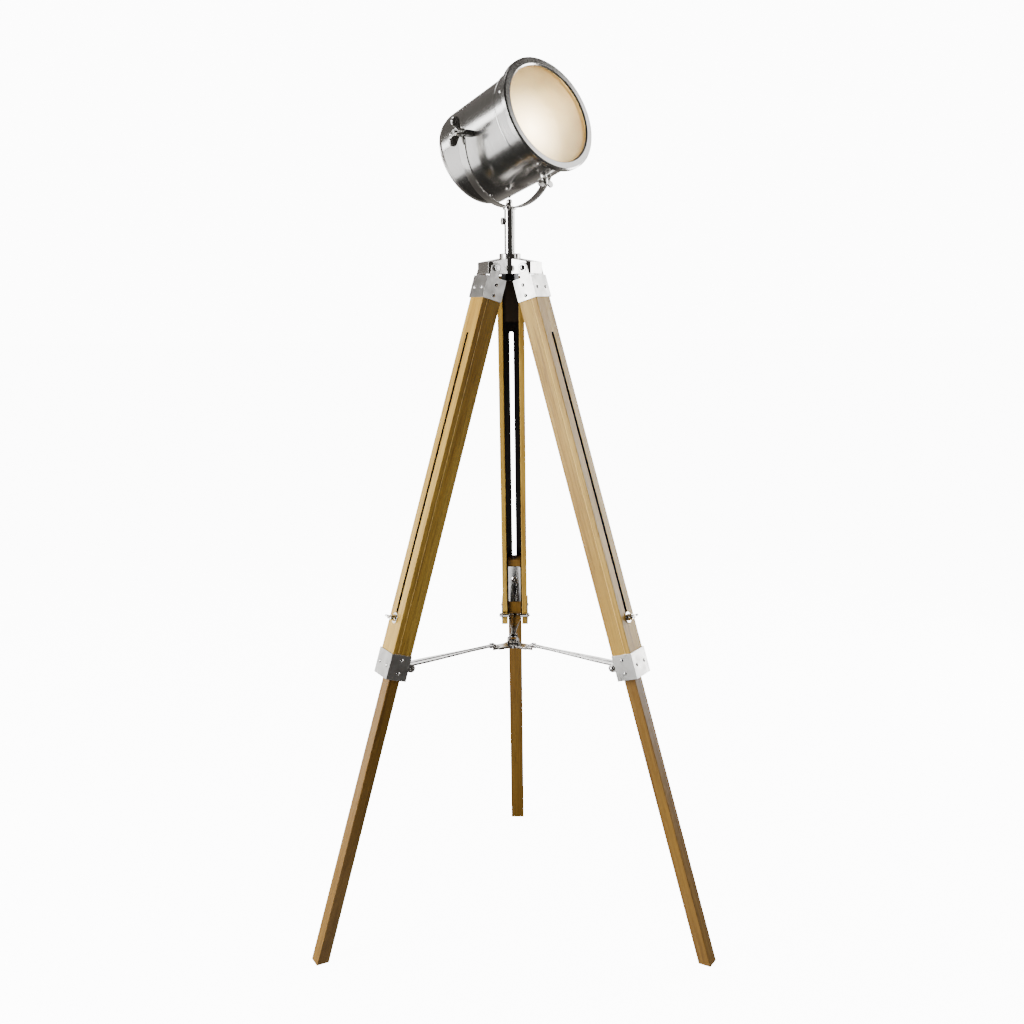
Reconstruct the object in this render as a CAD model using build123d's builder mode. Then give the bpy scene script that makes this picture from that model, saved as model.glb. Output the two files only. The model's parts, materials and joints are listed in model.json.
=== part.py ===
"""Tripod spotlight floor lamp: telescoping wooden legs, folding brace, swivelling drum head.

Units are millimetres.  The leg pieces are drawn once in a leg frame (origin on the leg's hinge,
X outward, Z up along the leg) and the head pieces in a head frame (origin on the tilt axis, X along
the beam).  Every piece is moved to its place in the stand as it is saved.  The stand's floor is
z = 0, and the middle of its footprint is the origin.
"""
from build123d import *
from math import asin, atan2, cos, degrees, hypot, radians, sin, sqrt, tan
import os

# ---------------------------------------------------------------- driving dimensions
LEGS = {"back": 90.0, "left": 210.0, "right": 330.0}  # azimuth of each leg

FOOT_RADIUS = 380.0      # pole axis to the middle of a foot
LEAN = 16.55             # leg lean from vertical, degrees
HINGE_Z = 1176.0         # height of the leg hinges
PIVOT_Z = 1403.3         # height of the head's tilt axis
HEAD_PAN = 46.0          # head turned towards +X, degrees
HEAD_TILT = 18.5         # head tipped up, degrees
RUN = 0.05               # running clearance round a shaft, on the radius
GAP = 0.3                # gap between sliding faces

# upper leg: a slotted board in front of two rails that form a channel
LEG_W = 48.5
BOARD_T = 10.0
FACE_X = 10.6            # outer face of the leg, from the hinge axis
RAIL_X = -25.5           # inner edge of the rails
CHANNEL_W = 29.0
LEG_TOP = -16.0
LEG_END = -731.0
BLOCK_END = -93.0        # lower end of the packing block in the channel
SLOT_W = 7.5
SLOT_TOP = -119.5
SLOT_END = -635.0
PLATE_T = 2.0            # sheet metal of brackets and collars
BRACKET_END = -56.0
TONGUE_W = 18.0
COLLAR_TOP = -687.0

# lower leg
SHANK_W = 26.0
SHANK_D = 21.0
SHANK_TOP = -587.0
CLAMP_Z = -630.0
CLAMP_PLATE = (24.0, 80.0, 2.5)

# brace
PIN_X, PIN_Z = -30.0, -707.0   # brace pin, in the leg frame
STAY_W, STAY_T = 22.0, 3.0
HUB_PIVOT_R = 40.0
HUB_Z = 498.0
TONGUE_HALF = 5.0

# crown and pole
ARM_R, ARM_HALF = 54.0, 23.9
CROWN_Z0, CROWN_Z1, CROWN_EDGE_Z = 1166.0, 1194.0, 1187.0
COLLAR_R, COLLAR_H = 19.0, 8.0
POLE_R, POLE_BORE_R = 9.5, 5.0
POLE_Z0, POLE_Z1 = 1154.0, 1279.0
LOCK_Z, LOCK_AZIMUTH = 1259.0, 196.0

# yoke
YOKE_R, YOKE_T, YOKE_W = 114.5, 3.0, 16.0
YOKE_DROP = 7.0          # centre of the arc below the tilt axis
YOKE_TOP = 9.0

# drum
BACK_X, SEAM_X, RIM_X = -90.0, 70.0, 105.0
BACK_R, SEAM_R, BEAD_R, RIM_R = 88.6, 92.8, 95.2, 103.0
WALL = 2.0
MOUTH_R = 88.0           # free opening of the front ring
BAND_BORE = 92.1

# ---------------------------------------------------------------- derived places
c_lean, s_lean = cos(radians(LEAN)), sin(radians(LEAN))
SHANK_X = FACE_X - BOARD_T - 0.4 - SHANK_D / 2
HINGE_R = FOOT_RADIUS - HINGE_Z * tan(radians(LEAN)) - SHANK_X / c_lean
FOOT_Z = -HINGE_Z / c_lean          # where the leg frame's Z axis meets the floor
FOOT_OUT = FOOT_RADIUS + SHANK_D / 2 / c_lean
STAND_Y = -(FOOT_OUT - (FOOT_OUT * sin(radians(30)) + SHANK_W / 2 * cos(radians(30)))) / 2

pin_r = HINGE_R + PIN_X * c_lean - PIN_Z * s_lean
pin_z = HINGE_Z + PIN_Z * c_lean + PIN_X * s_lean
STAY_RISE = degrees(atan2(HUB_Z - pin_z, pin_r - HUB_PIVOT_R))
STAY_L = hypot(HUB_Z - pin_z, pin_r - HUB_PIVOT_R)
stay_angle = radians(LEAN + STAY_RISE)   # stay above the leg frame's -X

STAND = Location((0, STAND_Y, 0))
LEG_FRAME = Plane(origin=(HINGE_R, 0, HINGE_Z), x_dir=(c_lean, 0, s_lean), z_dir=(-s_lean, 0, c_lean))
pan, tilt = radians(HEAD_PAN), radians(HEAD_TILT)
ahead = Vector(sin(pan), -cos(pan), 0)
up = Vector(0, 0, 1)
YOKE_FRAME = Plane(origin=(0, 0, PIVOT_Z), x_dir=ahead, z_dir=up)
HEAD_FRAME = Plane(origin=(0, 0, PIVOT_Z), x_dir=ahead * cos(tilt) + up * sin(tilt),
                   z_dir=up * cos(tilt) - ahead * sin(tilt))
AT_YOKE = STAND * YOKE_FRAME.location
AT_HEAD = STAND * HEAD_FRAME.location


def at_leg(azimuth):
    """Place of the leg frame for the leg at this azimuth."""
    return STAND * Location((0, 0, 0), (0, 0, azimuth)) * LEG_FRAME.location


def radial_plane(azimuth):
    """Upright plane through the pole axis: its x is the radius and its y is the height."""
    a = radians(azimuth)
    return Plane(origin=(0, 0, 0), x_dir=(cos(a), sin(a), 0), z_dir=(sin(a), -cos(a), 0))


def save(name, part, place):
    """Label a finished piece and write it where it stands."""
    piece = part.moved(place)
    piece.label = name
    export_step(piece, f"parts/{name}.step")


os.makedirs("parts", exist_ok=True)


def group(*parts):
    """Pieces that share a node, each still its own solid."""
    return Compound([solid for part in parts for solid in part.solids()])


def cap_middle(radius, height):
    """Middle of the round arc from (radius, 0) to (0, height) whose centre is on the axis."""
    ball = (radius * radius + height * height) / (2 * height)
    half = asin(radius / ball) / 2
    return ball * sin(half), height - ball + ball * cos(half)


# ---------------------------------------------------------------- small hardware
def dome_screw(head_r, head_h, shank_r, shank_l):
    """Round-head screw: axis +Z, underside of the head at z = 0."""
    with BuildPart() as screw:
        with BuildSketch(Plane.XZ):
            with BuildLine():
                Polyline((0, head_h), (0, -shank_l), (shank_r, -shank_l), (shank_r, 0), (head_r, 0))
                ThreePointArc((head_r, 0), cap_middle(head_r, head_h), (0, head_h))
            make_face()
        revolve(axis=Axis.Z)
    return screw.part


def hex_nut(flats, height, bore_r):
    """Hexagon nut: axis +Z, seat at z = 0."""
    with BuildPart() as nut:
        with BuildSketch():
            RegularPolygon(flats / 2, 6, major_radius=False)
            Circle(bore_r, mode=Mode.SUBTRACT)
        extrude(amount=height)
    return nut.part


def ring(outer_r, bore_r, height):
    """Washer or spacer: axis +Z, seat at z = 0."""
    with BuildPart() as washer:
        with BuildSketch():
            Circle(outer_r)
            Circle(bore_r, mode=Mode.SUBTRACT)
        extrude(amount=height)
    return washer.part


def wings(hub_r, hub_h, span, rise, thick):
    """Two flared wings on a tapered boss: axis +Z, seat at z = 0; joins the open part."""
    tip_r = 0.17 * span
    Cone(hub_r, 0.72 * hub_r, hub_h, align=(Align.CENTER, Align.CENTER, Align.MIN))
    with BuildSketch(Plane.XZ) as blades:
        for side in (-1, 1):
            with Locations((side * (span / 2 - tip_r), rise - tip_r)):
                Circle(tip_r)
            Polygon((0, 0.12 * hub_h), (side * hub_r, 0.12 * hub_h),
                    (side * (span / 2 - 0.35 * tip_r), rise - 1.8 * tip_r),
                    (side * (span / 2 - 1.5 * tip_r), rise - 0.15 * tip_r),
                    (side * 0.6 * hub_r, 0.8 * hub_h), (0, 0.8 * hub_h), align=None)
    extrude(blades.sketch, amount=thick / 2, both=True)


def wing_nut(bore_r, hub_r, hub_h, span, rise, thick):
    """Wing nut: axis +Z, seat at z = 0."""
    with BuildPart() as nut:
        wings(hub_r, hub_h, span, rise, thick)
        Cylinder(bore_r, 4 * hub_h, mode=Mode.SUBTRACT)
    return nut.part


def side_holes(spots, radius, reach=40.0):
    """Holes along Y through the part being built, at (x, z) spots."""
    with BuildSketch(Plane.XZ) as holes:
        with Locations(*spots):
            Circle(radius)
    extrude(holes.sketch, amount=reach, both=True, mode=Mode.SUBTRACT)


def front_holes(spots, radius, reach=30.0):
    """Holes along +X from x = 0, at (y, z) spots."""
    with BuildSketch(Plane.YZ) as holes:
        with Locations(*spots):
            Circle(radius)
    extrude(holes.sketch, amount=reach, mode=Mode.SUBTRACT)


# ---------------------------------------------------------------- leg pieces, in the leg frame
SIDE_SCREWS = [(-8, -29), (-8, -48), (-8, -696), (-8, -719)]
FRONT_SCREWS = [(-14, -38), (14, -38), (-14, -709), (14, -709)]
SCREW_R, PILOT_R = 1.5, 1.6
BOLT_R, PIN_R = 3.0, 2.5
plate_y = LEG_W / 2 + PLATE_T
plate_x = FACE_X + PLATE_T

with BuildPart() as leg_board:
    with BuildSketch(Plane.XY.offset(LEG_END)):
        with Locations((FACE_X - BOARD_T / 2, 0)):
            Rectangle(BOARD_T, LEG_W)
    extrude(amount=LEG_TOP - LEG_END)
    chamfer(leg_board.edges().filter_by(Axis.Z).group_by(Axis.X)[-1], 0.8)
    with BuildSketch(Plane.YZ):
        with Locations((0, (SLOT_TOP + SLOT_END) / 2)):
            SlotOverall(SLOT_TOP - SLOT_END, SLOT_W, rotation=90)
    extrude(amount=30, mode=Mode.SUBTRACT)
    front_holes(FRONT_SCREWS, PILOT_R)

rail_w = (LEG_W - CHANNEL_W) / 2
rail_x = FACE_X - BOARD_T
with BuildPart() as leg_rails:
    with BuildSketch(Plane.XY.offset(LEG_END)):
        with Locations(*[((rail_x + RAIL_X) / 2, s * (LEG_W - rail_w) / 2) for s in (-1, 1)]):
            Rectangle(rail_x - RAIL_X, rail_w)
    extrude(amount=LEG_TOP - LEG_END)
    chamfer(leg_rails.edges().filter_by(Axis.Z).group_by(Axis.X)[0], 0.8)
    side_holes(SIDE_SCREWS, PILOT_R)

with BuildPart() as top_block:
    with BuildSketch(Plane.XY.offset(BLOCK_END)):
        with Locations(((rail_x + RAIL_X + 3) / 2, 0)):
            Rectangle(rail_x - RAIL_X - 3, CHANNEL_W)
    extrude(amount=LEG_TOP - BLOCK_END)


def channel_sheet(low, high):
    """U-shaped sheet round the front and sides of the leg, joined to the open part."""
    with BuildSketch(Plane.XY.offset(low)) as channel:
        with Locations(((plate_x + RAIL_X) / 2, 0)):
            Rectangle(plate_x - RAIL_X, 2 * plate_y)
        with Locations(((FACE_X + RAIL_X) / 2 - 5, 0)):
            Rectangle(FACE_X - RAIL_X + 10, LEG_W, mode=Mode.SUBTRACT)
    extrude(channel.sketch, amount=high - low)


with BuildPart() as top_bracket:
    channel_sheet(BRACKET_END, LEG_TOP)
    for s in (-1, 1):
        with BuildSketch(Plane.XZ.offset(-s * (LEG_W + PLATE_T) / 2)):
            with Locations((0, LEG_TOP / 2 - 2)):
                Rectangle(TONGUE_W, -LEG_TOP + 4)
            Circle(TONGUE_W / 2)
        extrude(amount=PLATE_T / 2, both=True)
    side_holes([(0, 0)], BOLT_R + RUN)
    side_holes(SIDE_SCREWS[:2], PILOT_R)
    front_holes(FRONT_SCREWS[:2], PILOT_R)

with BuildPart() as leg_collar:
    channel_sheet(LEG_END, COLLAR_TOP)
    for s in (-1, 1):
        with BuildSketch(Plane.XZ.offset(-s * (LEG_W + PLATE_T) / 2)):
            with Locations((PIN_X, PIN_Z)):
                Circle(7)
            with Locations(((PIN_X + RAIL_X) / 2 + 2, PIN_Z)):
                Rectangle(RAIL_X - PIN_X + 4, 14)
        extrude(amount=PLATE_T / 2, both=True)
    side_holes([(PIN_X, PIN_Z)], PIN_R + RUN)
    side_holes(SIDE_SCREWS[2:], PILOT_R)
    front_holes(FRONT_SCREWS[2:], PILOT_R)

wood_screw = dome_screw(3.3, 1.9, SCREW_R, 10.0)
side_places = [Plane(origin=(x, s * plate_y, z), z_dir=(0, s, 0)) for x, z in SIDE_SCREWS for s in (-1, 1)]
front_places = [Plane(origin=(plate_x, y, z), z_dir=(1, 0, 0)) for y, z in FRONT_SCREWS]
with BuildPart() as leg_screws:
    with Locations(*side_places, *front_places):
        add(wood_screw)



def cross_bolt(x, z, shank_r, head_r, head_h, flats, nut_h):
    """Bolt along Y through the leg's side plates, with its washer and nut as separate solids."""
    def spot(side, lift=0.0):
        return Plane(origin=(x, side * (plate_y + lift), z), z_dir=(0, side, 0)).location

    washer_t = 1.2
    bolt = dome_screw(head_r, head_h, shank_r, 2 * plate_y + washer_t + nut_h + 1.2)
    washer = ring(1.3 * head_r, shank_r + RUN, washer_t)
    return group(bolt.moved(spot(-1, washer_t)), washer.moved(spot(-1)),
                 hex_nut(flats, nut_h, shank_r + RUN).moved(spot(1)))


hinge_bolt = cross_bolt(0, 0, BOLT_R, 5.4, 3.6, 10, 4.5)
spacer = ring(4.2, PIN_R + RUN, LEG_W / 2 - STAY_W / 2 - GAP)
brace_pin = group(cross_bolt(PIN_X, PIN_Z, PIN_R, 4.0, 3.0, 8, 3.6),
                  *[spacer.moved(Plane(origin=(PIN_X, s * (STAY_W / 2 + GAP), PIN_Z), z_dir=(0, s, 0)).location)
                    for s in (-1, 1)])

with BuildPart() as lower_leg:
    with BuildSketch(Plane.XY.offset(FOOT_Z - 20)):
        with Locations((SHANK_X, 0)):
            Rectangle(SHANK_D, SHANK_W)
    extrude(amount=SHANK_TOP - FOOT_Z + 20)
    chamfer(lower_leg.edges().filter_by(Axis.Z), 0.8)
    split(bisect_by=Plane(origin=(0, 0, FOOT_Z), z_dir=(s_lean, 0, c_lean)), keep=Keep.TOP)
    with BuildSketch(Plane.YZ.offset(-40)):
        with Locations((0, CLAMP_Z)):
            Circle(BOLT_R + RUN)
    extrude(amount=60, mode=Mode.SUBTRACT)

plate_w, plate_h, plate_t = CLAMP_PLATE
shank_in = SHANK_X - SHANK_D / 2
WASHER_T = 1.5
nut_seat = FACE_X + GAP + WASHER_T + 0.1
with BuildPart() as clamp_plate:
    with BuildSketch(Plane.YZ.offset(shank_in - plate_t)):
        with Locations((0, CLAMP_Z - 10)):
            RectangleRounded(plate_w, plate_h, 3)
        with Locations((0, CLAMP_Z)):
            Circle(BOLT_R + RUN, mode=Mode.SUBTRACT)
    extrude(amount=plate_t)
with BuildPart() as clamp_bolt:
    with Locations(Plane(origin=(shank_in - plate_t, 0, CLAMP_Z), z_dir=(-1, 0, 0))):
        add(dome_screw(6.5, 3.0, BOLT_R, nut_seat + 13 - shank_in + plate_t))
clamp_washer = ring(9.5, BOLT_R + RUN, WASHER_T)
washer_place = Plane(origin=(FACE_X + GAP, 0, CLAMP_Z), z_dir=(1, 0, 0)).location
clamp_set = group(clamp_bolt.part, clamp_plate.part, clamp_washer.moved(washer_place))

leg_wing_nut = wing_nut(BOLT_R + RUN, 6.0, 8.0, 27.0, 14.0, 2.6)
leg_nut_place = Plane(origin=(nut_seat, 0, CLAMP_Z), x_dir=(0, 1, 0), z_dir=(1, 0, 0)).location

# ---------------------------------------------------------------- stay, in its own frame
# Origin on the brace pin, X towards the hub pivot.
GROOVE_W, GROOVE_D = 5.0, 0.9
NECK = 44.0              # length of the narrow end tongue
HOOK_PIN_R, HOOK_PIN_HALF = 2.0, 8.0
with BuildPart() as brace_stay:
    with BuildSketch():
        Polygon((0, -STAY_W / 2), (40, -STAY_W / 2), (STAY_L - NECK, -TONGUE_HALF),
                (STAY_L, -TONGUE_HALF), (STAY_L, TONGUE_HALF), (STAY_L - NECK, TONGUE_HALF),
                (40, STAY_W / 2), (0, STAY_W / 2), align=None)
    extrude(amount=STAY_T / 2, both=True)
    for x, radius, half in ((0, 4.4, STAY_W / 2), (STAY_L, 3.4, TONGUE_HALF)):
        with BuildSketch(Plane.XZ):
            with Locations((x, 0)):
                Circle(radius)
        extrude(amount=half, both=True)
    for s in (-1, 1):
        with BuildSketch(Plane.XY.offset(s * (STAY_T / 2 - GROOVE_D))):
            with Locations((STAY_L / 2 + 2, 0)):
                SlotOverall(STAY_L - 34, GROOVE_W)
        extrude(amount=s * 2 * GROOVE_D, mode=Mode.SUBTRACT)
    with BuildSketch(Plane.XZ):
        Circle(PIN_R + RUN)
    extrude(amount=STAY_W, both=True, mode=Mode.SUBTRACT)
    with BuildSketch(Plane.XZ):
        with Locations((STAY_L, 0)):
            Circle(HOOK_PIN_R)
    extrude(amount=HOOK_PIN_HALF, both=True)
STAY_FRAME = Plane(origin=(PIN_X, 0, PIN_Z), x_dir=(-cos(stay_angle), 0, sin(stay_angle)),
                   z_dir=(sin(stay_angle), 0, cos(stay_angle)))

# ---------------------------------------------------------------- brace hub: open hooks for the stays
HUB_ARM_R, HUB_NOTCH_R, CHEEK_T = 34.0, 29.0, 2.0
cheek_y = TONGUE_HALF + 0.5
HOOK = [(20, -7), (HUB_PIVOT_R + 4.6, -7), (HUB_PIVOT_R + 4.6, 2.6), (HUB_PIVOT_R + 2.4, 2.6),
        (HUB_PIVOT_R + 2.4, -2.4), (HUB_PIVOT_R - 6, -2.4), (HUB_PIVOT_R - 6, -3), (20, -3)]
with BuildPart() as brace_hub:
    with BuildSketch(Plane.XY.offset(HUB_Z - 7)):
        Circle(16.5)
        for azimuth in LEGS.values():
            with Locations(Location((0, 0, 0), (0, 0, azimuth))):
                with Locations((HUB_ARM_R / 2, 0)):
                    Rectangle(HUB_ARM_R, STAY_W)
        for azimuth in LEGS.values():
            with Locations(Location((0, 0, 0), (0, 0, azimuth))):
                with Locations((HUB_NOTCH_R + 15, 0)):
                    Rectangle(30, 2 * cheek_y, mode=Mode.SUBTRACT)
    extrude(amount=4)
    for azimuth in LEGS.values():
        for s in (-1, 1):
            with BuildSketch(radial_plane(azimuth).offset(s * (cheek_y + CHEEK_T / 2))):
                Polygon(*[(r, HUB_Z + z) for r, z in HOOK], align=None)
            extrude(amount=CHEEK_T / 2, both=True)
    with BuildSketch(Plane.XZ):
        with Locations((0, HUB_Z + 3)):
            Rectangle(20, 13)
        with Locations((0, HUB_Z + 5)):
            Rectangle(13, 13, mode=Mode.SUBTRACT)
    extrude(amount=1.25, both=True)
    with Locations((0, 0, HUB_Z - 7)):
        Cylinder(5.5, 3.5, align=(Align.CENTER, Align.CENTER, Align.MAX))

# ---------------------------------------------------------------- crown, pole and pan lock
with BuildPart() as crown_hub:
    with BuildSketch(Plane.XY.offset(CROWN_Z0)):
        for azimuth in LEGS.values():
            with Locations(Location((0, 0, 0), (0, 0, azimuth))):
                Polygon((0, -ARM_HALF), (ARM_R - 7, -ARM_HALF), (ARM_R, -ARM_HALF + 4), (ARM_R, ARM_HALF - 4),
                        (ARM_R - 7, ARM_HALF), (0, ARM_HALF), align=None)
        Circle(30)
    extrude(amount=CROWN_Z1 - CROWN_Z0)
    with BuildSketch(Plane.XZ):
        Polygon((0, CROWN_Z0), (90, CROWN_Z0), (90, CROWN_EDGE_Z - 7), (COLLAR_R, CROWN_Z1), (0, CROWN_Z1),
                align=None)
    revolve(axis=Axis.Z, mode=Mode.INTERSECT)
    with Locations((0, 0, CROWN_Z1)):
        Cylinder(COLLAR_R, COLLAR_H, align=(Align.CENTER, Align.CENTER, Align.MIN))
    chamfer(crown_hub.edges().group_by(Axis.Z)[-1], 1.2)
    with Locations((0, 0, (POLE_Z0 + POLE_Z1) / 2)):
        Cylinder(POLE_R + RUN, POLE_Z1 - POLE_Z0, mode=Mode.SUBTRACT)
    for azimuth in LEGS.values():
        with BuildSketch(radial_plane(azimuth)):
            with Locations((HINGE_R, HINGE_Z)):
                Circle(BOLT_R + RUN)
        extrude(amount=40, both=True, mode=Mode.SUBTRACT)

lock_spot = Plane(origin=(0, 0, LOCK_Z), z_dir=(cos(radians(LOCK_AZIMUTH)), sin(radians(LOCK_AZIMUTH)), 0))
LOCK_SHANK_R = 2.0
with BuildPart() as pole:
    with BuildSketch(Plane.XY.offset(POLE_Z0)):
        Circle(POLE_R)
        Circle(POLE_BORE_R, mode=Mode.SUBTRACT)
    extrude(amount=POLE_Z1 - POLE_Z0)
    with BuildSketch(lock_spot):
        Circle(LOCK_SHANK_R + RUN)
    extrude(amount=20, mode=Mode.SUBTRACT)

with BuildPart() as pole_nut:
    with BuildSketch(Plane.XY.offset(POLE_Z0)):
        RegularPolygon(13.5, 6, major_radius=False)
        Circle(POLE_R + RUN, mode=Mode.SUBTRACT)
    extrude(amount=CROWN_Z0 - POLE_Z0)

KNURLS = 18
with BuildPart() as pan_lock_screw:
    with BuildSketch(lock_spot.offset(POLE_R + GAP)):
        Circle(6.5)
        with PolarLocations(6.7, KNURLS):
            Circle(0.5, mode=Mode.SUBTRACT)
    extrude(amount=5.2)
    chamfer(pan_lock_screw.faces().sort_by(Axis(lock_spot.origin, lock_spot.z_dir))[-1].edges(), 0.4)
    with BuildSketch(lock_spot.offset(POLE_BORE_R + 0.2)):
        Circle(LOCK_SHANK_R)
    extrude(amount=POLE_R - POLE_BORE_R + 1)

# ---------------------------------------------------------------- yoke, spigot and cap nut
spigot_z = POLE_Z1 + GAP
strap_z = PIVOT_Z - YOKE_DROP - YOKE_R
SPIGOT_FLANGE_R = 12.0
with BuildPart() as pan_spigot:
    with Locations((0, 0, spigot_z)):
        Cylinder(SPIGOT_FLANGE_R, strap_z - spigot_z, align=(Align.CENTER, Align.CENTER, Align.MIN))
        Cylinder(POLE_BORE_R - RUN, 34, align=(Align.CENTER, Align.CENTER, Align.MAX))
        Cylinder(BOLT_R, 16, align=(Align.CENTER, Align.CENTER, Align.MIN))

nut_z = strap_z + YOKE_T + GAP   # the strap's curve rises under the edges of the nut
with BuildPart() as acorn_nut:
    with BuildSketch(Plane.XY.offset(nut_z)):
        RegularPolygon(5.6, 6, major_radius=False)
    extrude(amount=6)
    with BuildSketch(Plane.XZ):
        with BuildLine():
            dome_r, dome_z = 5.2, nut_z + 8
            mid_x, mid_z = cap_middle(dome_r, dome_r - 0.1)
            Polyline((0, nut_z + 5), (dome_r, nut_z + 5), (dome_r, dome_z))
            ThreePointArc((dome_r, dome_z), (mid_x, dome_z + mid_z), (0, dome_z + dome_r - 0.1))
            Line((0, dome_z + dome_r - 0.1), (0, nut_z + 5))
        make_face()
    revolve(axis=Axis.Z)
    with Locations((0, 0, nut_z)):
        Cylinder(BOLT_R + RUN, 22, mode=Mode.SUBTRACT)

# In the yoke frame: origin on the tilt axis, Y along it, Z up.
with BuildPart() as yoke:
    with BuildSketch(Plane.YZ):
        with BuildLine():
            r_in, r_out, low = YOKE_R - YOKE_T, YOKE_R, -YOKE_DROP
            Polyline((r_in, low), (r_in, YOKE_TOP), (r_out, YOKE_TOP), (r_out, low))
            ThreePointArc((r_out, low), (0, low - r_out), (-r_out, low))
            Polyline((-r_out, low), (-r_out, YOKE_TOP), (-r_in, YOKE_TOP), (-r_in, low))
            ThreePointArc((-r_in, low), (0, low - r_in), (r_in, low))
        make_face()
    extrude(amount=YOKE_W / 2, both=True)
    fillet(yoke.edges().filter_by(Axis.Y).group_by(Axis.Z)[-1], YOKE_W / 2 - 0.1)
    side_holes([(0, 0)], BOLT_R + RUN, reach=130)
    with Locations((0, 0, low - r_out)):
        Cylinder(BOLT_R + RUN, 20, mode=Mode.SUBTRACT)

# ---------------------------------------------------------------- drum, in the head frame
VENT_ROWS = (16.0, 23.5, 31.0, 38.5, 46.0)   # angles from the top, on both sides
VENT_PITCH, VENT_COUNT, VENT_X, VENT_R = 10.5, 4, -27.0, 2.4
GLAND_Z, GLAND_R = -52.0, 6.0
SMALL_SCREWS = [(-53.0, -75.0), (-53.0, 75.0), (-53.0, 165.0), (-53.0, 195.0)]  # x, angle from the top
BAND_SCREWS = [(84.0, -67.0), (84.0, 67.0), (84.0, 157.0), (84.0, 203.0)]


def spoke(x, angle, radius=0.0):
    """Plane facing outward from the drum's axis at this distance along it."""
    a = radians(angle)
    out = Vector(0, sin(a), cos(a))
    return Plane(origin=Vector(x, 0, 0) + out * radius, x_dir=(1, 0, 0), z_dir=out)


def drum_radius(x):
    """Outer radius of the drum's tapered wall."""
    return BACK_R + (SEAM_R - BACK_R) * (x - BACK_X) / (SEAM_X - 4 - BACK_X)


with BuildPart() as drum:
    with BuildSketch():
        Polygon((BACK_X, 0), (BACK_X, BACK_R), (SEAM_X - 4, SEAM_R), (SEAM_X - 4, BEAD_R), (SEAM_X, BEAD_R),
                (SEAM_X, SEAM_R - WALL), (BACK_X + WALL, BACK_R - WALL), (BACK_X + WALL, 0), align=None)
    revolve(axis=Axis.X)
    back_rings = drum.edges().filter_by(GeomType.CIRCLE).sort_by(Axis.X)
    fillet(back_rings[0], 12)
    fillet(drum.edges().filter_by(GeomType.CIRCLE).filter_by(lambda e: e.radius > BEAD_R - 0.1), 1.2)
    for angle in [side * row for side in (-1, 1) for row in VENT_ROWS]:
        with BuildSketch(spoke(VENT_X, angle, 70)):
            with GridLocations(VENT_PITCH, 1, VENT_COUNT, 1):
                Circle(VENT_R)
        extrude(amount=40, mode=Mode.SUBTRACT)
    for x, angle in SMALL_SCREWS:
        with BuildSketch(spoke(x, angle, 70)):
            Circle(PILOT_R)
        extrude(amount=40, mode=Mode.SUBTRACT)
    side_holes([(0, 0)], BOLT_R + RUN, reach=120)
    with BuildSketch(Plane.YZ.offset(BACK_X - 5)):
        with Locations((0, GLAND_Z)):
            Circle(GLAND_R + RUN)
    extrude(amount=20, mode=Mode.SUBTRACT)

LENS_X0, LENS_X1, LENS_R, LENS_RISE = 95.8, 98.9, 91.9, 4.0
LIP_X = LENS_X1 + GAP
with BuildPart() as door_ring:
    with BuildSketch():
        Polygon((SEAM_X + 0.4, BAND_BORE), (SEAM_X + 0.4, BEAD_R), (93.5, BEAD_R + 0.6), (95, RIM_R),
                (RIM_X - 2.5, RIM_R), (RIM_X, RIM_R - 2.5), (RIM_X, MOUTH_R + 2.5), (RIM_X - 2.5, MOUTH_R),
                (LIP_X, MOUTH_R), (LIP_X, BAND_BORE), align=None)
    revolve(axis=Axis.X)
    for x, angle in BAND_SCREWS:
        with BuildSketch(spoke(x, angle, 85)):
            Circle(PILOT_R)
        extrude(amount=20, mode=Mode.SUBTRACT)

with BuildPart() as lens:
    with BuildSketch():
        with BuildLine():
            Polyline((LENS_X0 + LENS_RISE, 0), (LENS_X0, LENS_R - 4), (LENS_X0, LENS_R), (LENS_X1, LENS_R),
                     (LENS_X1, MOUTH_R - 1))
            mid_r, mid_rise = cap_middle(MOUTH_R - 1, LENS_RISE)
            ThreePointArc((LENS_X1, MOUTH_R - 1), (LENS_X1 + mid_rise, mid_r), (LENS_X1 + LENS_RISE, 0))
            Line((LENS_X1 + LENS_RISE, 0), (LENS_X0 + LENS_RISE, 0))
        make_face()
    revolve(axis=Axis.X)

with BuildPart() as lens_retainer:
    with BuildSketch(Plane.YZ.offset(LENS_X0 - 3)):
        Circle(BAND_BORE - 0.1)
        Circle(BAND_BORE - 7, mode=Mode.SUBTRACT)
    extrude(amount=2.9)

trim_screw = dome_screw(2.9, 1.8, SCREW_R, 3.0)
with BuildPart() as drum_screws:
    with Locations(*[spoke(x, angle, drum_radius(x) + 0.15) for x, angle in SMALL_SCREWS]):
        add(trim_screw)
with BuildPart() as ring_screws:
    with Locations(*[spoke(x, angle, BEAD_R + 0.5) for x, angle in BAND_SCREWS]):
        add(trim_screw)

# ---------------------------------------------------------------- door hinge on top of the drum
KNUCKLE_R, KNUCKLE_Z = 4.5, 103.5
KNUCKLE_X = SEAM_X + 0.2
HINGE_HALF, HINGE_MID = 12.0, 5.0
HINGE_PIN_R = 2.0


def knuckle(y0, y1):
    """Barrel of the door hinge from y0 to y1, joined to the open part."""
    with BuildSketch(Plane.XZ.offset(-y1)) as barrel:
        with Locations((KNUCKLE_X, KNUCKLE_Z)):
            Circle(KNUCKLE_R)
    extrude(barrel.sketch, amount=y1 - y0)


def slab(x0, x1, y0, y1, z0, z1):
    """Plain block between two corners, joined to the open part."""
    with Locations(((x0 + x1) / 2, (y0 + y1) / 2, (z0 + z1) / 2)):
        Box(x1 - x0, y1 - y0, z1 - z0)


def pin_bore():
    """Bore for the hinge pin through the part being built."""
    side_holes([(KNUCKLE_X, KNUCKLE_Z)], HINGE_PIN_R + RUN)


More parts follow.
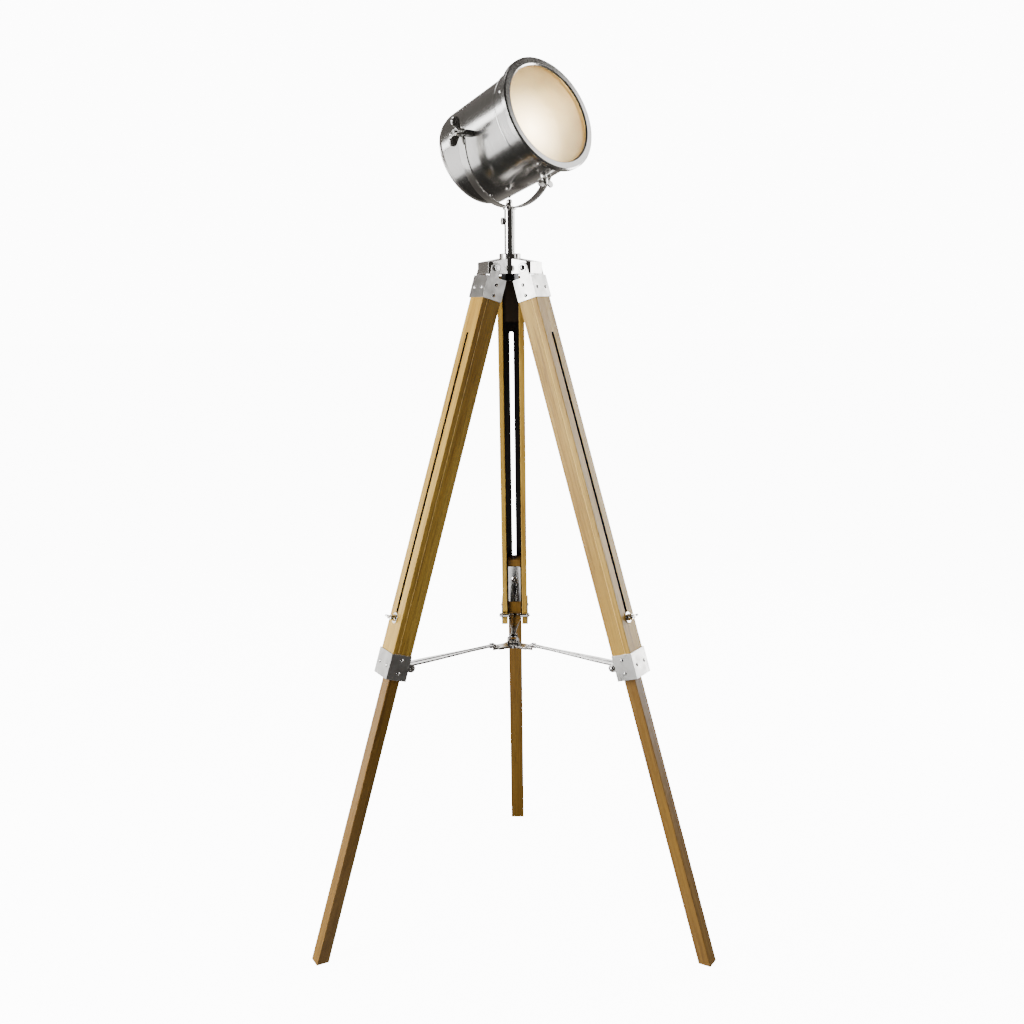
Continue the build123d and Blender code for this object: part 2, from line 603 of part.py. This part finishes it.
with BuildPart() as hinge_base:
    slab(44, 66.4, -HINGE_HALF, HINGE_HALF, 95.5, 97.5)
    slab(48, 60, -HINGE_HALF, HINGE_HALF, 93.1, 95.5)
    for y0, y1 in ((-HINGE_HALF, -HINGE_MID - 0.3), (HINGE_MID + 0.3, HINGE_HALF)):
        slab(60, KNUCKLE_X, y0, y1, 95.5, KNUCKLE_Z)
        knuckle(y0, y1)
    pin_bore()
with BuildPart() as hinge_leaf:
    slab(74, 91, -HINGE_HALF, HINGE_HALF, 96.2, 98.2)
    slab(KNUCKLE_X, 79, -HINGE_MID, HINGE_MID, 96.2, KNUCKLE_Z)
    knuckle(-HINGE_MID, HINGE_MID)
    pin_bore()
with BuildPart() as hinge_pin:
    with BuildSketch(Plane.XZ.offset(-HINGE_HALF - 3)):
        with Locations((KNUCKLE_X, KNUCKLE_Z)):
            Circle(HINGE_PIN_R)
    extrude(amount=2 * HINGE_HALF + 6)

# ---------------------------------------------------------------- door latch under the drum
# A forked keeper on the front ring slides over a stud on the drum, and a wing nut holds it down.
STUD_X = 56.0
BOSS_R, BOSS_TOP = 6.0, 97.5
KEEPER_HALF, KEEPER_IN, KEEPER_T = 8.0, 98.3, 1.6
FORK_HALF, FORK_L = 3.6, 22.0
KEEPER_LIFT = 1.3        # the keeper swings out a little as the ring opens
under = spoke(STUD_X, 180)
latch_seat = KEEPER_IN + KEEPER_T + KEEPER_LIFT

with BuildPart() as latch_stud:
    with BuildSketch(under.offset(drum_radius(STUD_X) + 0.4)):
        Circle(BOSS_R)
    extrude(amount=BOSS_TOP - drum_radius(STUD_X) - 0.4)
    with BuildSketch(under.offset(BOSS_TOP)):
        Circle(PIN_R)
    extrude(amount=14.5)
with BuildPart() as latch_keeper:
    slab(STUD_X - 7, 92, -KEEPER_HALF, KEEPER_HALF, -KEEPER_IN - KEEPER_T, -KEEPER_IN)
    slab(78, 92, -KEEPER_HALF, KEEPER_HALF, -KEEPER_IN, -BEAD_R - 1.0)
    with BuildSketch(Plane.XY.offset(-KEEPER_IN - 3)):
        with Locations((STUD_X - FORK_L / 2, 0)):
            SlotOverall(FORK_L + 2 * FORK_HALF, 2 * FORK_HALF)
    extrude(amount=6, mode=Mode.SUBTRACT)
latch_wing_nut = wing_nut(PIN_R + RUN, 6.0, 9.0, 36.0, 13.5, 3.0)
latch_place = Plane(origin=(STUD_X, 0, -latch_seat), x_dir=(0, 1, 0), z_dir=(0, 0, -1)).location

# ---------------------------------------------------------------- tilt pivots
SPACER_R = 6.5
spacer_in = drum_radius(0) + 0.35
spacer_out = YOKE_R - YOKE_T - GAP
washer_in = YOKE_R + GAP
tilt_seat = washer_in + WASHER_T + 0.2
bolt_seat = drum_radius(0) - WALL - 0.9
pivot_pieces = []
for s in (-1, 1):
    inward = Plane(origin=(0, s * bolt_seat, 0), z_dir=(0, -s, 0)).location
    pivot_pieces.append(dome_screw(6.5, 3.0, BOLT_R, tilt_seat + 16 - bolt_seat).moved(inward))
    for start, end, radius in ((spacer_in, spacer_out, SPACER_R), (washer_in, washer_in + WASHER_T, 8.0)):
        seat = Plane(origin=(0, s * start, 0), z_dir=(0, s, 0)).location
        pivot_pieces.append(ring(radius, BOLT_R + RUN, end - start).moved(seat))
pivot_bolts = group(*pivot_pieces)
tilt_wing_nut = wing_nut(BOLT_R + RUN, 7.5, 11.0, 50.0, 22.0, 3.4)
WING_TURN = 62.0         # wings of the tilt nuts, degrees from the beam


def tilt_nut_place(side):
    """Seat of a tilt wing nut on this side of the head."""
    a = radians(WING_TURN)
    return Plane(origin=(0, side * tilt_seat, 0), x_dir=(cos(a), 0, sin(a)), z_dir=(0, side, 0)).location


# ---------------------------------------------------------------- lamp parts inside the drum
HOLDER_R, HOLDER_X1 = 20.0, -44.0
with BuildPart() as lamp_holder:
    with BuildSketch():
        Polygon((BACK_X + WALL, 0), (BACK_X + WALL, HOLDER_R + 6), (-84, HOLDER_R + 6), (-84, HOLDER_R),
                (HOLDER_X1, HOLDER_R), (HOLDER_X1, 13.6), (-70, 13.6), (-70, 0), align=None)
    revolve(axis=Axis.X)

BULB_R, NECK_R = 30.0, 16.0
with BuildPart() as bulb:
    with BuildSketch():
        with BuildLine():
            Polyline((-69, 0), (-69, 13.4), (-42, 13.4), (-sqrt(BULB_R ** 2 - NECK_R ** 2), NECK_R))
            ThreePointArc((-sqrt(BULB_R ** 2 - NECK_R ** 2), NECK_R), (0, BULB_R), (BULB_R, 0))
            Line((BULB_R, 0), (-69, 0))
        make_face()
    revolve(axis=Axis.X)

with BuildPart() as reflector:
    with BuildSketch():
        with BuildLine():
            Line((-50, HOLDER_R + 0.1), (-50, HOLDER_R + 1.4))
            ThreePointArc((-50, HOLDER_R + 1.4), (-6, 69.2), (62, 89.4))
            Line((62, 89.4), (62, 88.1))
            ThreePointArc((62, 88.1), (-5.4, 68), (-50, HOLDER_R + 0.1))
        make_face()
    revolve(axis=Axis.X)

with BuildPart() as cable_gland:
    with BuildSketch(Plane.XY):
        Polygon((BACK_X - 9, 3.2), (BACK_X - 9, 5.2), (BACK_X - 3, 7.5), (BACK_X, 8.5), (BACK_X, GLAND_R),
                (BACK_X + WALL, GLAND_R), (BACK_X + WALL, 8.5), (BACK_X + 6, 8.5), (BACK_X + 6, 3.2), align=None)
    revolve(axis=Axis.X)
gland_place = Location((0, 0, GLAND_Z))

# ---------------------------------------------------------------- write the pieces
LEG_PIECES = {"board": leg_board.part, "rails": group(leg_rails.part, top_block.part),
              "bracket": top_bracket.part, "collar": leg_collar.part, "screws": leg_screws.part,
              "hinge_bolt": hinge_bolt, "brace_pin": brace_pin}
for side, azimuth in LEGS.items():
    place = at_leg(azimuth)
    for name, part in LEG_PIECES.items():
        save(f"{side}_leg_{name}", part, place)
    save(f"{side}_lower_leg", lower_leg.part, place)
    save(f"{side}_clamp_bolt", clamp_set, place)
    save(f"{side}_wing_nut", leg_wing_nut, place * leg_nut_place)
    save(f"{side}_stay", brace_stay.part, place * STAY_FRAME.location)

STAND_PIECES = {"brace_hub": brace_hub, "crown_hub": crown_hub, "pole": pole, "pole_nut": pole_nut,
                "pan_lock_screw": pan_lock_screw, "pan_spigot": pan_spigot, "acorn_nut": acorn_nut}
for name, piece in STAND_PIECES.items():
    save(name, piece.part, STAND)
save("yoke", yoke.part, AT_YOKE)

HEAD_PIECES = {"drum": drum, "drum_screws": drum_screws, "door_ring": door_ring, "ring_screws": ring_screws,
               "lens": lens, "lens_retainer": lens_retainer, "hinge_base": hinge_base, "hinge_leaf": hinge_leaf,
               "hinge_pin": hinge_pin, "latch_stud": latch_stud, "latch_keeper": latch_keeper,
               "lamp_holder": lamp_holder, "bulb": bulb, "reflector": reflector}
for name, piece in HEAD_PIECES.items():
    save(name, piece.part, AT_HEAD)
save("pivot_bolts", pivot_bolts, AT_HEAD)
save("cable_gland", cable_gland.part, AT_HEAD * gland_place)
save("latch_wing_nut", latch_wing_nut, AT_HEAD * latch_place)
for name, side in (("left", -1), ("right", 1)):
    save(f"tilt_wing_nut_{name}", tilt_wing_nut, AT_HEAD * tilt_nut_place(side))
print(f"hinge radius {HINGE_R:.3f}, stand y {STAND_Y:.3f}, pin at r {pin_r:.3f} z {pin_z:.3f}")
print(f"stay length {STAY_L:.3f} rise {STAY_RISE:.3f}, foot z {FOOT_Z:.3f}, strap z {strap_z:.3f}")
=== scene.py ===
"""Looks of the tripod spotlight floor lamp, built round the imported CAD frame."""
import json
import math
import bpy
from mathutils import Matrix, Vector

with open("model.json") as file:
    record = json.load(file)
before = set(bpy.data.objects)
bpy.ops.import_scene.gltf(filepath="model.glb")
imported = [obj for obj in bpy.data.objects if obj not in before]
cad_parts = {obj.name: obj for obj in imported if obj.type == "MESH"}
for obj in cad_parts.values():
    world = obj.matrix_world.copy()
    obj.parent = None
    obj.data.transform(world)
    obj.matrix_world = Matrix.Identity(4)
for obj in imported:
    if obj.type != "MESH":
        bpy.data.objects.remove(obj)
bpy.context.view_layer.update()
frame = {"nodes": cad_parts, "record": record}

nodes = frame["nodes"]

# ---------------------------------------------------------------- frames of the part, in metres
STAND_Y = -0.092109                    # the pole's axis is at (0, STAND_Y)
LEGS = {"back": 90.0, "left": 210.0, "right": 330.0}
LEAN = math.radians(16.55)             # of a leg, from upright
STAY_RISE = math.radians(2.716)        # of a stay, from level
HINGE_R, HINGE_Z = 0.041281, 1.176     # of a leg, from the pole's axis and the floor
BRACE_PIN = (-0.030, 0, -0.707)        # in the leg frame
PIVOT = Vector((0, STAND_Y, 1.4033))   # middle of the head's tilt axis
PAN, TILT = math.radians(46.0), math.radians(18.5)

# in the leg frame: an upper leg's glue line, and the channel and slot coloured near-black, partly black
# stain and partly painted shade
GLUE_X, CHANNEL_X, CHANNEL_HALF = 0.0006, 0.00066, 0.01465
SLOT_MIDDLE, SLOT_HALF_LENGTH, SLOT_HALF = -0.37725, 0.25775, 0.0039


def compose(x, y, z, origin):
    m = Matrix((x, y, z)).transposed().to_4x4()
    m.translation = origin
    return m


def leg_matrix(azimuth):
    """Leg frame to world: X outward across the leg, Y sideways, Z up along it."""
    a = math.radians(azimuth)
    out = Vector((math.cos(a), math.sin(a), 0))
    x = out * math.cos(LEAN) + Vector((0, 0, math.sin(LEAN)))
    z = Vector((0, 0, math.cos(LEAN))) - out * math.sin(LEAN)
    return compose(x, z.cross(x), z, out * HINGE_R + Vector((0, STAND_Y, HINGE_Z)))


def stay_matrix(leg):
    """Stay frame to world: origin on the brace pin, X towards the hub, Y across the strap."""
    turned = Matrix.Rotation(LEAN + STAY_RISE, 4, "Y") @ Matrix.Rotation(math.pi, 4, "Z")
    return leg @ Matrix.Translation(BRACE_PIN) @ turned


def head_matrix():
    """Head frame to world: X along the beam, Z up across it."""
    ahead = Vector((math.sin(PAN), -math.cos(PAN), 0))
    x = ahead * math.cos(TILT) + Vector((0, 0, math.sin(TILT)))
    z = Vector((0, 0, math.cos(TILT))) - ahead * math.sin(TILT)
    return compose(x, z.cross(x), z, PIVOT)


LEG_FRAMES = {side: leg_matrix(azimuth) for side, azimuth in LEGS.items()}
HEAD = head_matrix()

# ---------------------------------------------------------------- node helpers
OBJECT_COORDS, NORMAL, NUMBER = 3, 1, 1    # outputs of texture coordinate, geometry, vector math
SHARE, FIRST, SECOND, MIXED = 0, 6, 7, 2   # colour sockets of a mix node


class Nodes:
    """A node tree under construction; add() makes a node and links or sets its inputs."""

    def __init__(self, owner, shader):
        owner.use_nodes = True
        self.tree = owner.node_tree
        self.shader = self.tree.nodes[shader]

    def put(self, socket, value):
        if isinstance(value, bpy.types.NodeSocket):
            self.tree.links.new(value, socket)
        elif socket.type == "RGBA" and len(value) == 3:
            socket.default_value = (*value, 1)
        else:
            socket.default_value = value

    def node(self, kind, values=(), settings=()):
        n = self.tree.nodes.new(kind)
        for key, value in dict(settings).items():
            setattr(n, key, value)
        for key, value in dict(values).items():
            self.put(n.inputs[key], value)
        return n

    def add(self, kind, values=(), settings=(), out=0):
        return self.node(kind, values, settings).outputs[out]

    def set(self, **values):
        for key, value in values.items():
            self.put(self.shader.inputs[key.replace("_", " ")], value)

    def split(self, vector):
        return self.node("ShaderNodeSeparateXYZ", {0: vector}).outputs

    def remap(self, value, low, high, to_low=0.0, to_high=1.0):
        return self.add("ShaderNodeMapRange", {"Value": value, "From Min": low, "From Max": high,
                                               "To Min": to_low, "To Max": to_high})

    def math(self, how, a, b=0.0):
        return self.add("ShaderNodeMath", {0: a, 1: b}, {"operation": how})

    def vector(self, how, a, b=(0, 0, 0), out=0):
        return self.add("ShaderNodeVectorMath", {0: a, 1: b}, {"operation": how}, out)

    def mix(self, share, a, b):
        return self.add("ShaderNodeMix", {SHARE: share, FIRST: a, SECOND: b}, {"data_type": "RGBA"}, MIXED)


class Look(Nodes):
    """A material under construction."""

    def __init__(self, name):
        self.material = bpy.data.materials.new(name)
        super().__init__(self.material, "Principled BSDF")

    def here(self):
        """Rest coordinates of the piece, in the world's frame."""
        return self.add("ShaderNodeTexCoord", out=OBJECT_COORDS)

    def coords(self, matrix, stretch=None, offset=(0, 0, 0)):
        """Rest coordinates of the piece in the given frame, then stretched and moved."""
        back = matrix.inverted()
        local = self.add("ShaderNodeMapping", {"Vector": self.here(), "Location": back.translation,
                                               "Rotation": back.to_euler()})
        if stretch is None:
            return local
        return self.add("ShaderNodeMapping", {"Vector": local, "Location": offset, "Scale": stretch})

    def noise(self, where, scale=1.0, detail=4.0, rough=0.55, distort=0.0):
        return self.add("ShaderNodeTexNoise", {"Vector": where, "Scale": scale, "Detail": detail,
                                               "Roughness": rough, "Distortion": distort})

    def bevel(self, radius):
        return self.add("ShaderNodeBevel", {"Radius": radius}, {"samples": 6})

    def edges(self, bevelled):
        """1 on sharp edges, 0 on flats."""
        smooth = self.add("ShaderNodeNewGeometry", out=NORMAL)
        return self.remap(self.vector("DOT_PRODUCT", bevelled, smooth, NUMBER), 0.80, 0.995, 1.0, 0.0)

    def bump(self, height, strength, distance, normal=None):
        values = {"Height": height, "Strength": strength, "Distance": distance}
        if normal is not None:
            values["Normal"] = normal
        return self.add("ShaderNodeBump", values)


# ---------------------------------------------------------------- materials
def shaded(colour, share):
    return tuple(share * c for c in colour)


def wood(name, matrix, tones, shift, hollow=False):
    """Straight-grained varnished timber, its grain running along the leg.

    hollow colours the channel and the slot inside an upper leg near-black, partly black stain and partly
    painted shade, and draws the glue line.
    """
    pale, deep, streak = tones
    k = Look(name)
    grain = k.coords(matrix, (26, 26, 1.3), shift)
    bands = k.noise(grain, 1.0, 3.0, 0.5, 1.2)
    lines = k.noise(grain, 7.0, 4.0, 0.6, 0.6)
    fibres = k.noise(k.coords(matrix, (520, 520, 9), shift), 1.0, 3.0, 0.6)
    pits = k.noise(k.coords(matrix, (900, 900, 34), shift), 1.0, 2.0, 0.5)
    colour = k.mix(k.remap(bands, 0.34, 0.66), deep, pale)
    colour = k.mix(k.remap(lines, 0.50, 0.72, 0.0, 0.55), colour, streak)
    colour = k.mix(k.remap(fibres, 0.40, 0.75, 0.0, 0.35), colour, streak)
    colour = k.mix(k.remap(pits, 0.64, 0.74, 0.0, 0.5), colour, streak)

    rounded = k.bevel(0.0014)
    patches = k.noise(k.coords(matrix, (60, 60, 22), shift), 1.0, 3.0)
    worn = k.math("MULTIPLY", k.edges(rounded), k.remap(patches, 0.35, 0.6))
    worn_colour = tuple(min(1.0, 1.5 * c + 0.10) for c in pale)
    colour = k.mix(k.math("MULTIPLY", worn, 0.9), colour, worn_colour)
    if hollow:
        across, aside, along = k.split(k.coords(matrix))
        aside = k.math("ABSOLUTE", aside)
        from_glue = k.math("ABSOLUTE", k.math("SUBTRACT", across, GLUE_X))
        colour = k.mix(k.remap(from_glue, 0.0003, 0.0008, 0.8, 0.0), colour, worn_colour)
        # painted shade and black stain: the channel and the slot are coloured near-black
        channel = k.math("MULTIPLY", k.math("LESS_THAN", aside, CHANNEL_HALF),
                         k.math("LESS_THAN", across, CHANNEL_X))
        from_middle = k.math("ABSOLUTE", k.math("SUBTRACT", along, SLOT_MIDDLE))
        slot = k.math("MULTIPLY", k.math("LESS_THAN", from_middle, SLOT_HALF_LENGTH),
                      k.math("LESS_THAN", aside, SLOT_HALF))
        colour = k.mix(k.math("MAXIMUM", channel, slot), colour, (0.014, 0.008, 0.004))

    height = k.math("ADD", k.math("MULTIPLY", fibres, 0.6), k.math("MULTIPLY", pits, -0.5))
    k.set(Base_Color=colour, Roughness=k.remap(fibres, 0.3, 0.8, 0.34, 0.56), Specular_IOR_Level=0.2,
          Normal=k.bump(height, 0.35, 0.0006, rounded), Coat_Weight=0.03, Coat_Roughness=0.3)
    return k.material


def metal(name, base, low, high, soft=0.0006):
    """Plated steel: softened edges, small changes of polish, faint scratches."""
    k = Look(name)
    where = k.here()
    cloud = k.noise(where, 55.0, 4.0, 0.6)
    scratches = k.noise(where, 900.0, 2.0, 0.6)
    k.set(Base_Color=k.mix(k.remap(cloud, 0.35, 0.7), base, shaded(base, 0.82)), Metallic=1.0,
          Roughness=k.remap(cloud, 0.3, 0.7, low, high),
          Normal=k.bump(scratches, 0.05, 0.0002, k.bevel(soft)))
    return k.material


def brushed(name, matrix, base, dark, low, high, along):
    """Steel brushed round the head's axis, with the highlight drawn out along the brushing."""
    k = Look(name)
    lines = k.noise(k.coords(matrix, along), 1.0, 5.0, 0.65)
    cloud = k.noise(k.coords(matrix), 26.0, 3.0, 0.6)
    colour = k.mix(k.remap(lines, 0.3, 0.7), dark, base)
    colour = k.mix(k.remap(cloud, 0.45, 0.75, 0.0, 0.35), colour, dark)
    spaces = {"vector_type": "VECTOR", "convert_from": "OBJECT", "convert_to": "WORLD"}
    axis = k.add("ShaderNodeVectorTransform", {0: tuple(matrix.col[0].xyz)}, spaces)
    normal = k.add("ShaderNodeNewGeometry", out=NORMAL)
    k.set(Base_Color=colour, Metallic=1.0, Roughness=k.remap(lines, 0.25, 0.75, low, high), Anisotropic=0.3,
          Normal=k.bump(lines, 0.05, 0.0002, k.bevel(0.0008)),
          Tangent=k.vector("NORMALIZE", k.vector("CROSS_PRODUCT", axis, normal)))
    return k.material


def grooved(name, matrix, base, low, high):
    """Polished strap, near-black along its grooved middle from painted shade."""
    k = Look(name)
    where = k.coords(matrix)
    cloud = k.noise(where, 70.0, 4.0, 0.6)
    colour = k.mix(k.remap(cloud, 0.35, 0.7), base, shaded(base, 0.82))
    # painted shade in the groove along the strap's middle
    groove = k.remap(k.math("ABSOLUTE", k.split(where)[1]), 0.0022, 0.0027, 1.0, 0.0)
    k.set(Base_Color=k.mix(groove, colour, (0.03, 0.028, 0.026)), Metallic=1.0,
          Roughness=k.remap(cloud, 0.3, 0.7, low, high),
          Normal=k.bump(k.noise(where, 900.0, 2.0, 0.6), 0.05, 0.0002, k.bevel(0.0004)))
    return k.material


def plain(name, base, rough, **more):
    """Slightly uneven plastic, rubber or glass of one colour."""
    k = Look(name)
    where = k.here()
    cloud = k.noise(where, 90.0, 4.0, 0.6)
    k.set(Base_Color=k.mix(k.remap(cloud, 0.3, 0.7), base, shaded(base, 0.86)),
          Roughness=k.remap(cloud, 0.3, 0.7, 0.85 * rough, 1.15 * rough),
          Normal=k.bump(k.noise(where, 1200.0, 2.0, 0.5), 0.06, 0.0002, k.bevel(0.0005)), **more)
    return k.material


def frosted(name, matrix, base, glow):
    """Frosted glass with the light from behind it painted in: a painted glow, whitest round the glow spot,
    amber and mottled towards the edge in both colour and glow.
    """
    k = Look(name)
    where = k.coords(matrix)
    away = k.vector("DISTANCE", where, glow, NUMBER)
    cloud = k.noise(where, 30.0, 4.0, 0.6)
    # painted backlight: glow and colour are whitest near the glow spot and go amber towards the edge
    near = k.remap(away, 0.085, 0.0)
    far = k.math("ADD", k.remap(away, 0.06, 0.15), k.remap(cloud, 0.45, 0.75, 0.0, 0.25))
    light = k.mix(near, k.mix(far, (0.96, 0.81, 0.46), (0.84, 0.58, 0.22)), (1.0, 0.93, 0.78))
    # painted hot spot of the bulb's light, added to the lens's emission
    bulb = k.math("MULTIPLY", k.math("POWER", near, 1.6), 3.2)
    k.set(Base_Color=k.mix(far, base, (0.90, 0.70, 0.36)), Roughness=0.55, Transmission_Weight=0.8,
          Coat_Weight=0.4, Coat_Roughness=0.15, Emission_Color=light,
          Emission_Strength=k.math("ADD", k.remap(cloud, 0.3, 0.7, 0.26, 0.20), bulb),
          Normal=k.bump(k.noise(where, 900.0, 2.0, 0.5), 0.06, 0.0002))
    return k.material


UPPER_TONES = (0.61, 0.385, 0.070), (0.43, 0.240, 0.036), (0.15, 0.062, 0.009)
LOWER_TONES = (0.25, 0.132, 0.023), (0.18, 0.088, 0.014), (0.07, 0.029, 0.005)
MAKERS = {
    "plate_nickel": (metal, (0.50, 0.49, 0.47), 0.26, 0.42),
    "cast_nickel": (metal, (0.60, 0.58, 0.56), 0.12, 0.24, 0.0009),
    "hardware_chrome": (metal, (0.74, 0.73, 0.71), 0.07, 0.16, 0.0005),
    "black_steel": (metal, (0.05, 0.05, 0.052), 0.3, 0.45),
    "reflector_metal": (metal, (0.85, 0.84, 0.82), 0.12, 0.2),
    "drum_steel": (brushed, HEAD, (0.60, 0.59, 0.575), (0.50, 0.49, 0.475), 0.15, 0.23, (1500, 9, 9)),
    # the last point is the spot in the head frame where the lens's painted glow is whitest
    "frosted_glass": (frosted, HEAD, (0.98, 0.82, 0.52), (0.097, -0.050, -0.034)),
    "holder_plastic": (plain, (0.85, 0.85, 0.83), 0.5),
    "gland_rubber": (plain, (0.025, 0.025, 0.025), 0.55),
}
looks = {name: make(name, *values) for name, (make, *values) in MAKERS.items()}
looks["bulb_glass"] = plain("bulb_glass", (0.9, 0.88, 0.82), 0.25,
                            Emission_Color=(1.0, 0.88, 0.68, 1), Emission_Strength=14.0)
for i, (side, leg) in enumerate(LEG_FRAMES.items()):
    for name, make, *values in (
            (f"leg_wood_{side}", wood, leg, UPPER_TONES, (3.1 * i, 1.7 * i, 5.3 * i), True),
            (f"lower_wood_{side}", wood, leg, LOWER_TONES, (9 + 2.3 * i, 4.1 * i, 1.9 * i)),
            (f"stay_{side}", grooved, stay_matrix(leg), (0.80, 0.79, 0.77), 0.10, 0.22)):
        looks[name] = make(name, *values)

slots = {row["node"]: row["material_slot"] for row in frame["record"]["subparts"]}
for node, obj in nodes.items():
    name, side = slots[node], node.split("_")[0]
    if name.endswith("_wood"):
        name += f"_{side}"
    elif node.endswith("_stay"):
        name = f"stay_{side}"
    obj.data.materials.clear()
    obj.data.materials.append(looks[name])

# ---------------------------------------------------------------- stage
def link(name, data):
    o = bpy.data.objects.new(name, data)
    bpy.context.scene.collection.objects.link(o)
    return o


FLOOR_HALF = 30.0
k = Look("floor_pale")
k.set(Base_Color=(0.6, 0.6, 0.6), Roughness=0.95, Emission_Color=(1, 1, 1, 1), Emission_Strength=11.7)
mesh = bpy.data.meshes.new("floor")
mesh.from_pydata([(x * FLOOR_HALF, y * FLOOR_HALF, 0) for x, y in ((-1, -1), (1, -1), (1, 1), (-1, 1))],
                 [], [(0, 1, 2, 3)])
mesh.materials.append(k.material)
floor = link("floor", mesh)
floor.location.z = -0.0005
# only the camera sees the floor: the room and floor_card light the lamp through it
floor.visible_diffuse = floor.visible_glossy = floor.visible_transmission = floor.visible_shadow = False


WHITE, WARM = (1, 1, 1), (1, 0.93, 0.84)
world = bpy.data.worlds.new("studio")
bpy.context.scene.world = world
k = Nodes(world, "Background")
_, depth, height = k.split(k.add("ShaderNodeTexCoord"))
# brighter towards the back, dark overhead and straight below; the camera itself sees plain white
level = k.math("MULTIPLY", k.remap(depth, -0.75, 0.8, 0.045, 0.33), k.remap(height, 0.22, 0.5, 1.0, 0.5))
level = k.math("MULTIPLY", level, k.remap(height, -0.75, -0.45, 0.18, 1.0))
seen = k.add("ShaderNodeLightPath")
k.set(Strength=k.add("ShaderNodeMix", {0: seen, 2: level, 3: 12.0}), Color=k.mix(seen, WARM, WHITE))


def softbox(name, at, towards, width, height, watts):
    """Rectangular light that shows in reflections but not to the camera."""
    light = bpy.data.lights.new(name, "AREA")
    light.shape, light.size, light.size_y, light.energy = "RECTANGLE", width, height, watts
    o = link(name, light)
    o.location = at
    o.rotation_euler = (Vector(towards) - Vector(at)).to_track_quat("-Z", "Y").to_euler()
    o.visible_camera = False


softbox("left_softbox", (-2.32, -1.38, 1.25), (0, STAND_Y, 0.85), 1.1, 2.6, 152)
softbox("left_panel", (-2.5, -0.35, 0.55), (0, STAND_Y, 1.0), 1.3, 2.3, 21)
softbox("left_low_panel", (-2.2, 1.1, 0.4), (0, STAND_Y, 0.5), 1.1, 1.1, 12)
softbox("left_strip", (-2.6, -0.15, 2.05), (0, STAND_Y, 1.4), 1.5, 0.45, 17)
softbox("right_panel", (2.2, 1.0, 1.1), (0, STAND_Y, 1.0), 1.3, 1.7, 76)
softbox("right_card", (2.1, -1.25, 1.45), (0, STAND_Y, 1.35), 0.35, 1.3, 7)
softbox("ring_card", (1.75, 0.25, 2.13), (0, STAND_Y, 1.4), 1.0, 0.7, 6)
softbox("floor_card", (0, -0.62, -0.08), (0, 0.1, 0.6), 0.24, 0.95, 1.3)
softbox("back_panel", (0, 2.6, 1.35), (0, STAND_Y, 0.9), 2.4, 0.9, 17)
softbox("top_softbox", (-0.9, 0.5, 3.3), (0, STAND_Y, 1.2), 0.8, 1.6, 18)

# ---------------------------------------------------------------- camera
LENS, SENSOR = 41.2875, 36.0           # millimetres
SHIFT = (0.00098, -0.109375)           # shares of the frame's width
DISTANCE, HEIGHT = 2.0987, 1.1212      # from the pole's axis, and above the floor
PITCH, ROLL, YAW = 0.0855, -0.0079, 0.0199
camera = bpy.data.cameras.new("camera")
camera.sensor_width, camera.lens = SENSOR, LENS
camera.shift_x, camera.shift_y = SHIFT
camera.clip_start, camera.clip_end = 0.05, 200
eye = link("camera", camera)
eye_at = (DISTANCE * math.sin(YAW), STAND_Y - DISTANCE * math.cos(YAW), HEIGHT)
eye.matrix_world = (Matrix.Translation(eye_at) @ Matrix.Rotation(YAW, 4, "Z")
                    @ Matrix.Rotation(math.pi / 2 - PITCH, 4, "X") @ Matrix.Rotation(ROLL, 4, "Z"))
bpy.context.scene.camera = eye
